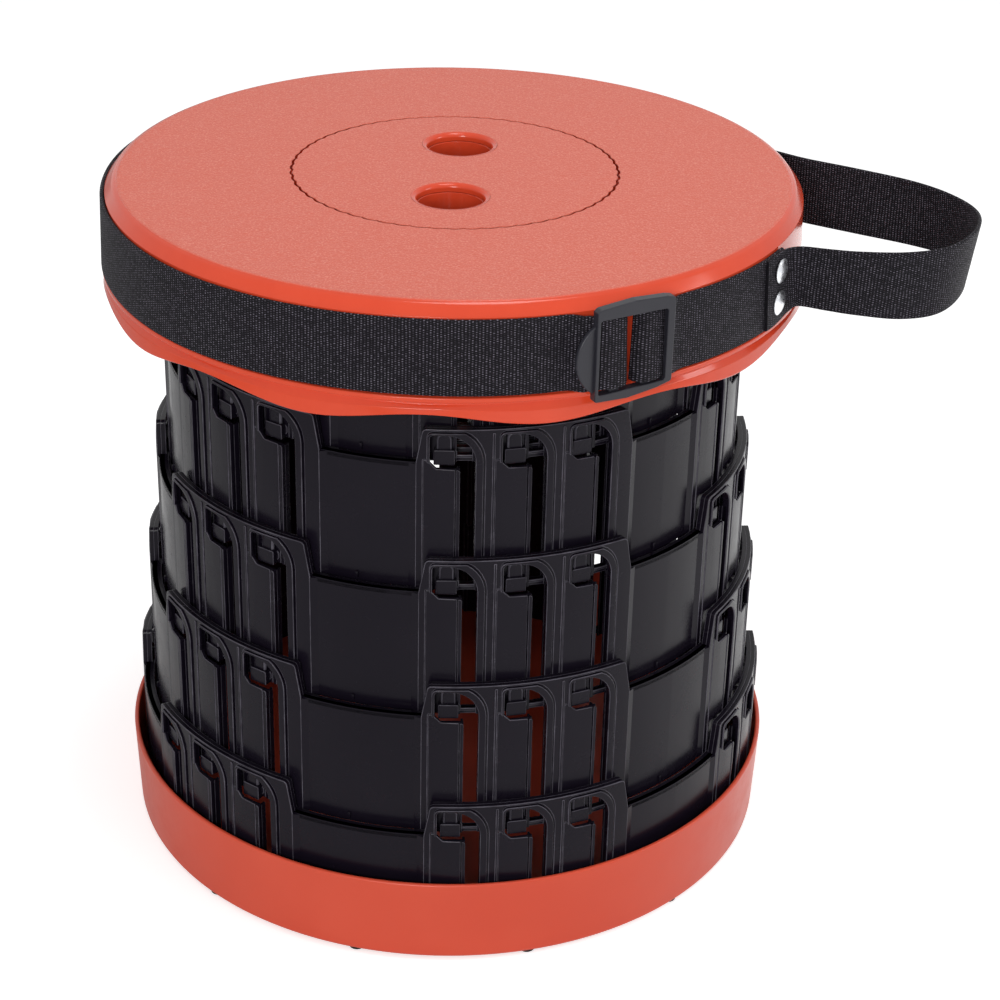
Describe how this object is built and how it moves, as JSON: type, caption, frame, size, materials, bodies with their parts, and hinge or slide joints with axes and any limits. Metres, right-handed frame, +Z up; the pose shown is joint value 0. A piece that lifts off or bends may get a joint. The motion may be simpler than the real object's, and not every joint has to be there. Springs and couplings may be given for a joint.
{
  "type": "collapsible telescopic stool",
  "caption": "Round telescopic stool: nested castellated locking rings between a flat seat with a webbing belt and carry loop and a shallow tray base.",
  "frame": {"origin": "on the floor plane, on the stool's centre axis", "axes": "+Z up along the centre axis, -Y towards the front, +X to the right, where the carry loop is"},
  "size_m": [0.3181, 0.2578, 0.262],
  "materials": {
    "seat_plastic": "fine leather grain, satin",
    "cap_plastic": "fine leather grain, satin",
    "tray_plastic": "satin",
    "ring_plastic": "satin",
    "foot_rubber": "matt",
    "screw_steel": "zinc plated",
    "webbing": "woven",
    "buckle_plastic": "satin gloss",
    "rivet_metal": "nickel plated"
  },
  "bodies": {
    "base": {"base_tray": "tray_plastic", "rubber_foot_1": "foot_rubber", "rubber_foot_2": "foot_rubber", "rubber_foot_3": "foot_rubber", "rubber_foot_4": "foot_rubber", "rubber_foot_5": "foot_rubber", "rubber_foot_6": "foot_rubber", "rubber_foot_7": "foot_rubber", "rubber_foot_8": "foot_rubber", "rubber_foot_9": "foot_rubber", "rubber_foot_10": "foot_rubber", "rubber_foot_11": "foot_rubber", "rubber_foot_12": "foot_rubber", "ring_1": "ring_plastic"},
    "stage_2": {"ring_2": "ring_plastic"},
    "stage_3": {"ring_3": "ring_plastic"},
    "stage_4": {"ring_4": "ring_plastic"},
    "stage_5": {"ring_5": "ring_plastic"},
    "stage_6": {"ring_6": "ring_plastic"},
    "stage_7": {"ring_7": "ring_plastic"},
    "stage_8": {"ring_8": "ring_plastic"},
    "seat": {"ring_9": "ring_plastic", "seat_top": "seat_plastic", "centre_cap": "cap_plastic", "seat_screws": "screw_steel", "belt_strap": "webbing", "belt_buckle": "buckle_plastic", "rivets_front": "rivet_metal", "rivets_rear": "rivet_metal", "carry_loop": "webbing"}
  },
  "joints": [
    {"name": "stage_2_slide", "type": "slide", "parent": "base", "child": "stage_2", "axis": [0, 0, 1], "range_m": [-0.0462, 0]},
    {"name": "stage_3_slide", "type": "slide", "parent": "stage_2", "child": "stage_3", "axis": [0, 0, 1], "range_m": [-0.0462, 0]},
    {"name": "stage_4_slide", "type": "slide", "parent": "stage_3", "child": "stage_4", "axis": [0, 0, 1], "range_m": [-0.0462, 0]},
    {"name": "stage_5_slide", "type": "slide", "parent": "stage_4", "child": "stage_5", "axis": [0, 0, 1], "range_m": [-0.0462, 0]},
    {"name": "stage_6_slide", "type": "slide", "parent": "stage_5", "child": "stage_6", "axis": [0, 0, 1], "range_m": [0, 0.04713]},
    {"name": "stage_7_slide", "type": "slide", "parent": "stage_6", "child": "stage_7", "axis": [0, 0, 1], "range_m": [0, 0.04713]},
    {"name": "stage_8_slide", "type": "slide", "parent": "stage_7", "child": "stage_8", "axis": [0, 0, 1], "range_m": [0, 0.04713]},
    {"name": "seat_slide", "type": "slide", "parent": "stage_8", "child": "seat", "axis": [0, 0, 1], "range_m": [0, 0.04713]}
  ]
}
